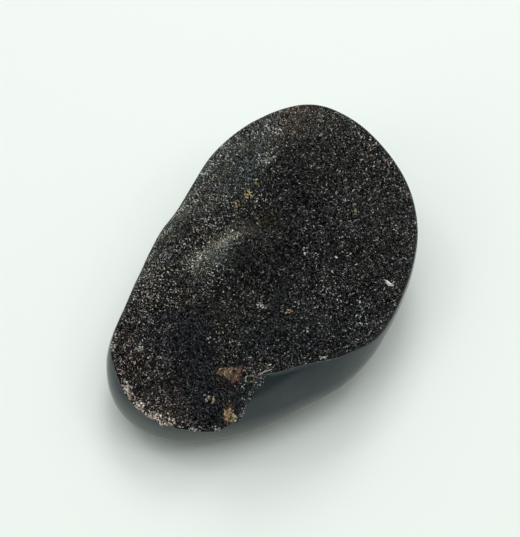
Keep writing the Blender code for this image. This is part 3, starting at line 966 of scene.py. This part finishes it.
def odd_crystals(name, pixels, colours, size, dice):
    """A few odd crystals that sit on the druse at the given pixels, joined in one mesh."""
    x, y = face_points(*pixels)
    inside = from_edge(x, y) > -EDGE_CREEP
    x, y = x[inside], y[inside]
    count = len(x)
    axes = crystal_axes(face_normal(x, y), np.full(count, ODD_TILT), dice)
    width = size * dice.uniform(*ODD_WIDTHS, count)
    sizes = np.column_stack([width, width * dice.uniform(*ODD_SIDES, count),
                             width * dice.uniform(*ODD_HEIGHTS, count)])
    inward = from_edge(x, y)
    lift = np.minimum(ODD_LIFT, RIM_RISE * np.maximum(inward, 0.0)) - edge_drop(inward)
    places = np.column_stack([x, y, face_height(x, y) + lift * dice.uniform(0.0, 1.0, count)])
    tints = np.array(colours)[dice.integers(len(colours), size=count)]
    tints = tints * dice.uniform(*ODD_SHADES, count)[:, None]
    return crystals_mesh(name, places, axes, sizes, tints, lift + ODD_HEADROOM * size, ODD_PAINTED_SHADE_POINT_TO_FOOT)


def spilled_crystals(dice):
    """Dark crystals on the rock's side just below the rim, fewer the lower they stand."""
    angle = np.radians(dice.uniform(*SPILL_ANGLES, SPILL_COUNT))
    depth = SPILL_DEPTH * dice.random(SPILL_COUNT) ** SPILL_THINNING
    rim = rim_radius(angle)
    height = face_height(rim * np.cos(angle), rim * np.sin(angle)) - depth
    radius = side_radius(angle, height)
    out = np.column_stack([np.cos(angle), np.sin(angle), np.zeros(SPILL_COUNT)])
    axes = crystal_axes(out, np.full(SPILL_COUNT, SPILL_TILT), dice)
    width = SPILL_SIZE * dice.uniform(*SPILL_WIDTHS, SPILL_COUNT)
    sizes = np.column_stack([width, width, width * dice.uniform(*SPILL_HEIGHTS, SPILL_COUNT)])
    places = ring_points(angle, radius, height) - SPILL_SINK * width[:, None] * out
    tints = np.array(SPILL_COLOURS)[dice.integers(len(SPILL_COLOURS), size=SPILL_COUNT)]
    highest = np.zeros(SPILL_COUNT)
    return crystals_mesh("spilled_crystals", places, axes, sizes, tints, highest, ODD_PAINTED_SHADE_POINT_TO_FOOT)


def blades_mesh(name, ends, count, width, colour, dice):
    """Thin pale blades that lie along a short line on the druse."""
    x, y = face_points([ends[0][0], ends[1][0]], [ends[0][1], ends[1][1]])
    points = np.column_stack([x, y, face_height(x, y) + BLADE_LIFT])
    run = points[1] - points[0]
    length = float(np.linalg.norm(run))
    along = np.tile(run / length, (count, 1)) + BLADE_SPLAY * dice.normal(size=(count, 3))
    along /= np.linalg.norm(along, axis=1)[:, None]
    side = np.cross(along, dice.normal(size=(count, 3)))
    side /= np.linalg.norm(side, axis=1)[:, None]
    axes = np.stack([side, np.cross(along, side), along], axis=1)
    share = dice.uniform(*BLADE_PLACES, count)[:, None]
    places = points[0] + run * share + BLADE_SCATTER * width * dice.normal(size=(count, 3))
    sizes = np.column_stack([width * dice.uniform(*BLADE_WIDTHS, count),
                             width * dice.uniform(*BLADE_SIDES, count),
                             length * dice.uniform(*BLADE_LENGTHS, count)])
    tints = np.tile(colour, (count, 1))
    return crystals_mesh(name, places, axes, sizes, tints, np.full(count, 2 * BLADE_LIFT), BLADE_PAINTED_SHADE)


class STONE_OT_odd_crystals(bpy.types.Operator):
    """Scatter the rusty, amber, golden and pale crystals over the druse"""

    bl_idname = "stone.odd_crystals"
    bl_label = "Odd crystals"

    def execute(self, context):
        dice = np.random.default_rng(SEED + 1)
        for name, spots, colours, size, roughness in ODD_GROUPS:
            mesh = odd_crystals(name, spot_pixels(spots, dice), colours, size, dice)
            new_piece(name, mesh, crystal_material(name, roughness, CALCITE_IOR))
        mesh = odd_crystals("grain_ring", ring_pixels(dice), GRAIN_RING_COLOURS, GRAIN_RING_SIZE, dice)
        grains = crystal_material("grain_ring", GRAIN_RING_ROUGHNESS, CALCITE_IOR)
        new_piece("grain_ring", mesh, grains)
        spill = crystal_material("spilled_crystals", CRYSTAL_ROUGHNESS, CRYSTAL_IOR)
        new_piece("spilled_crystals", spilled_crystals(dice), spill)
        for name, ends, count, width, colour, roughness in BLADES:
            mesh = blades_mesh(name, ends, count, width, colour, dice)
            new_piece(name, mesh, crystal_material(name, roughness, CALCITE_IOR))
        return {"FINISHED"}


def lay_floor(scene):
    """The pale matt floor, faintly clouded."""
    mesh = bpy.data.meshes.new("floor")
    half = FLOOR_WIDTH / 2
    corners = [(-half, -half, 0), (half, -half, 0), (half, half, 0), (-half, half, 0)]
    mesh.from_pydata(corners, [], [(0, 1, 2, 3)])
    floor = bpy.data.objects.new("floor", mesh)
    scene.collection.objects.link(floor)
    material, nodes, links, shader = new_material("pale_floor")
    clouds = noise_node(nodes, links, *FLOOR_NOISE)
    share = ranged(nodes, links, clouds, *NOISE_ENDS, 0.0, FLOOR_CLOUD_SHARE)
    pale = scene.stone.floor_colour
    shaded = tuple(FLOOR_SHADE * value for value in pale)
    links.new(mixed(nodes, links, share, pale, shaded), shader.inputs["Base Color"])
    shader.inputs["Roughness"].default_value = FLOOR_ROUGHNESS
    mesh.materials.append(material)


def hang_lamps(scene):
    """The soft round lamps, each turned towards the stone."""
    for name, place, size, power in LIGHTS:
        lamp = bpy.data.lights.new(name, "AREA")
        lamp.shape = "DISK"
        lamp.size = size
        lamp.energy = power
        light = bpy.data.objects.new(name, lamp)
        light.location = place
        light.rotation_euler = (-Vector(place)).to_track_quat("-Z", "Y").to_euler()
        scene.collection.objects.link(light)


def light_sky(scene):
    """A sky that glows most on its bright side."""
    world = bpy.data.worlds.new("studio")
    world.use_nodes = True
    nodes, links = world.node_tree.nodes, world.node_tree.links
    background = nodes["Background"]
    background.inputs["Color"].default_value = (*WORLD_COLOUR, 1.0)
    place = nodes.new("ShaderNodeTexCoord")
    side = nodes.new("ShaderNodeVectorMath")
    side.operation = "DOT_PRODUCT"
    links.new(place.outputs["Generated"], side.inputs[0])
    side.inputs[1].default_value = WORLD_BRIGHT_SIDE
    glow = ranged(nodes, links, side.outputs["Value"], *WORLD_GLOW_RANGE)
    links.new(glow, background.inputs["Strength"])
    scene.world = world


def set_camera(scene):
    """The camera that looks down at the face."""
    place, _, _, forward = view_frame()
    lens = bpy.data.cameras.new("camera")
    lens.lens = VIEW_FOCAL_PX * SENSOR / VIEW_HEIGHT_PX
    lens.sensor_width = SENSOR
    lens.clip_start = CLIP_START
    camera = bpy.data.objects.new("camera", lens)
    camera.location = place
    camera.rotation_euler = forward.to_track_quat("-Z", "Y").to_euler()
    scene.collection.objects.link(camera)
    scene.camera = camera


class STONE_OT_stage(bpy.types.Operator):
    """Set up the floor, the soft lights and the camera"""

    bl_idname = "stone.stage"
    bl_label = "Stage"

    def execute(self, context):
        scene = context.scene
        lay_floor(scene)
        hang_lamps(scene)
        light_sky(scene)
        set_camera(scene)
        scene.view_settings.view_transform = "Standard"
        return {"FINISHED"}


class STONE_PT_panel(bpy.types.Panel):
    """The stone's settings and builders"""

    bl_idname = "STONE_PT_panel"
    bl_label = "Septarian nodule"
    bl_space_type = "VIEW_3D"
    bl_region_type = "UI"
    bl_category = "Stone"

    def draw(self, context):
        for name in StoneSettings.__annotations__:
            self.layout.prop(context.scene.stone, name)
        for builder in BUILDERS:
            self.layout.operator(builder.bl_idname)


BUILDERS = (STONE_OT_polished_rock, STONE_OT_crust_bed, STONE_OT_druse, STONE_OT_odd_crystals, STONE_OT_stage)
CLASSES = (StoneSettings, *BUILDERS, STONE_PT_panel)


def register():
    """Register the classes and the scene's settings."""
    for item in CLASSES:
        bpy.utils.register_class(item)
    bpy.types.Scene.stone = bpy.props.PointerProperty(type=StoneSettings)


def unregister():
    """Take the classes and the settings away."""
    del bpy.types.Scene.stone
    for item in reversed(CLASSES):
        bpy.utils.unregister_class(item)


def main():
    """Build the stone and its stage."""
    register()
    bpy.ops.stone.polished_rock()
    bpy.ops.stone.crust_bed()
    bpy.ops.stone.druse()
    bpy.ops.stone.odd_crystals()
    bpy.ops.stone.stage()


if __name__ == "__main__":
    main()
